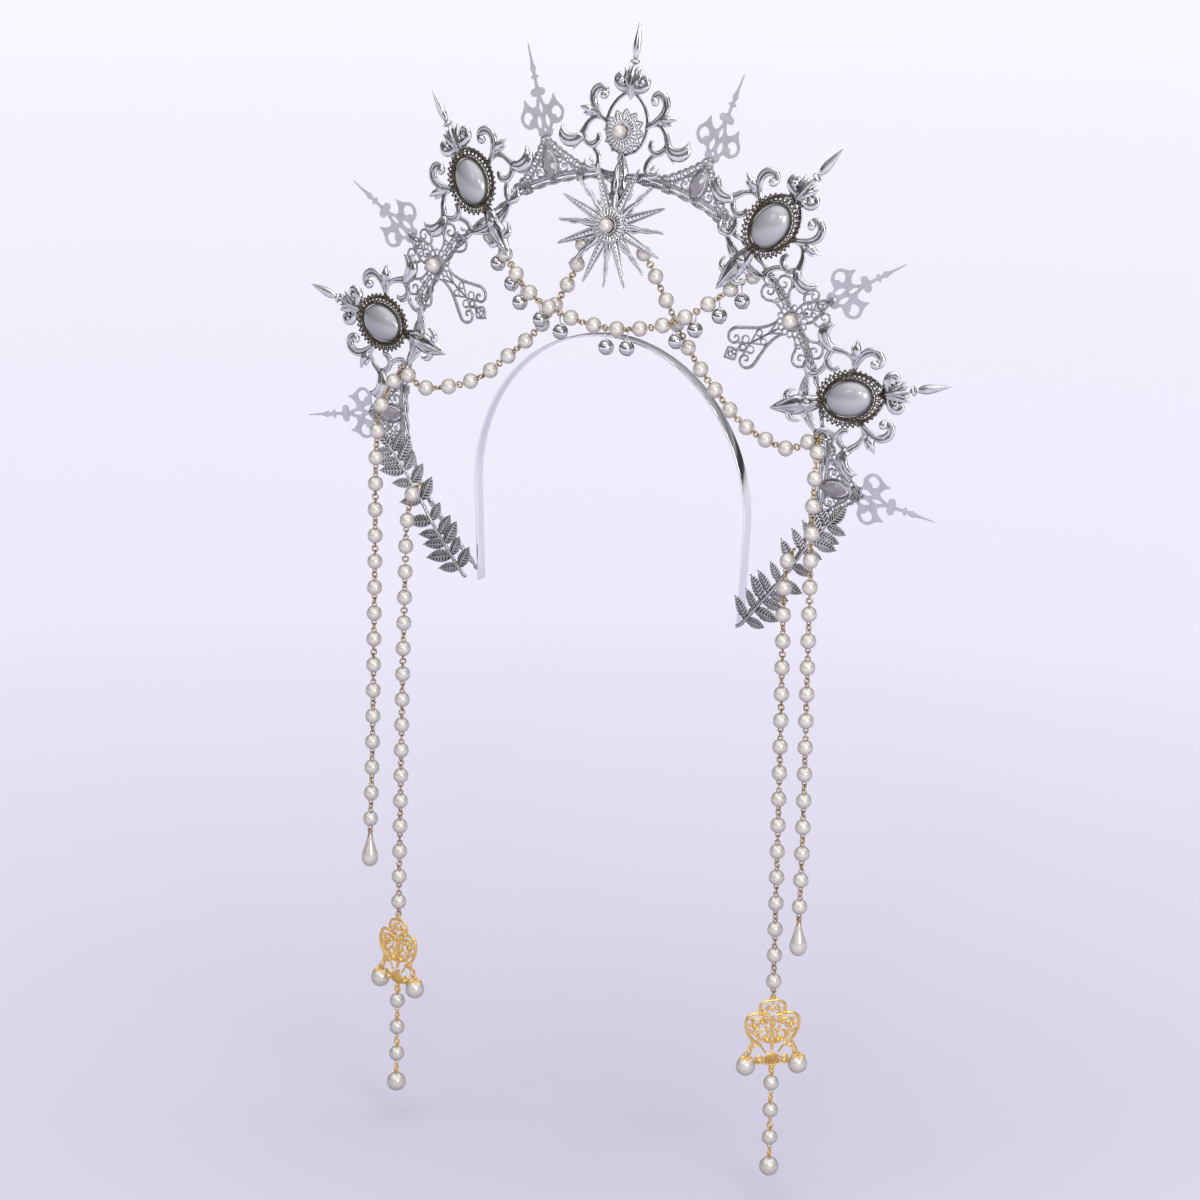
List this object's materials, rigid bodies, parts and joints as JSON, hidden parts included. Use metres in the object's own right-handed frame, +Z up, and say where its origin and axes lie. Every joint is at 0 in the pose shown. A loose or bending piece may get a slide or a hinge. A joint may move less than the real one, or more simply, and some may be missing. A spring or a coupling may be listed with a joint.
{
  "type": "halo crown headband",
  "caption": "Metal head band with a raised halo ring of silver-tone spires, clock hands, crosses and lace, set with oval stones, pearl chains and gold drops.",
  "frame": {"origin": "on the head, under the middle of the head band's top, where the band sits", "axes": "+Z up along the head, -Y the front, X across from one band leg to the other"},
  "size_m": [0.3804, 0.0493, 0.5706],
  "materials": {
    "antique_silver": "antiqued silver-tone metal",
    "bright_silver": "polished cast silver-tone metal",
    "chrome": "mirror chrome",
    "dark_bronze": "dark aged bronze",
    "gold": "bright gold plate",
    "grey_pearl": "glossy pearlescent",
    "grey_stone": "cut, dark grey",
    "gunmetal": "gunmetal to antique silver",
    "ivory_pearl": "glossy pearlescent",
    "satin_silver": "satin light grey metal"
  },
  "bodies": {
    "root": {"bezel_left": "dark_bronze", "bezel_left_low": "dark_bronze", "bezel_right": "dark_bronze", "bezel_right_low": "dark_bronze", "cabochon_left": "grey_pearl", "cabochon_left_low": "grey_pearl", "cabochon_right": "grey_pearl", "cabochon_right_low": "grey_pearl", "clock_hand_left": "satin_silver", "clock_hand_left_low": "satin_silver", "clock_hand_left_top": "satin_silver", "clock_hand_right": "satin_silver", "clock_hand_right_low": "satin_silver", "clock_hand_right_top": "satin_silver", "cross_left": "antique_silver", "cross_pearl_left": "ivory_pearl", "cross_pearl_right": "ivory_pearl", "cross_right": "antique_silver", "end_pearls_left": "ivory_pearl", "end_pearls_right": "ivory_pearl", "filigree_left": "gold", "filigree_right": "gold", "flower_back": "antique_silver", "flower_top": "antique_silver", "flower_top_pearl": "ivory_pearl", "halo_ring": "antique_silver", "headband": "chrome", "inner_strand_left": "ivory_pearl", "inner_strand_right": "ivory_pearl", "lace_left": "antique_silver", "lace_left_low": "antique_silver", "lace_right": "antique_silver", "lace_right_low": "antique_silver", "laurel_left": "gunmetal", "laurel_right": "gunmetal", "outer_strand_left": "ivory_pearl", "outer_strand_right": "ivory_pearl", "pearl_swag": "ivory_pearl", "side_pearl_left_inner": "ivory_pearl", "side_pearl_left_outer": "ivory_pearl", "side_pearl_right_inner": "ivory_pearl", "side_pearl_right_outer": "ivory_pearl", "spire_centre": "bright_silver", "spire_left": "bright_silver", "spire_left_low": "bright_silver", "spire_right": "bright_silver", "spire_right_low": "bright_silver", "star": "antique_silver", "star_chain_left": "ivory_pearl", "star_chain_right": "ivory_pearl", "star_flower": "antique_silver", "star_flower_pearl": "ivory_pearl", "stone_left": "grey_stone", "stone_left_low": "grey_stone", "stone_right": "grey_stone", "stone_right_low": "grey_stone", "teardrop_left": "ivory_pearl", "teardrop_right": "ivory_pearl"}
  },
  "joints": []
}
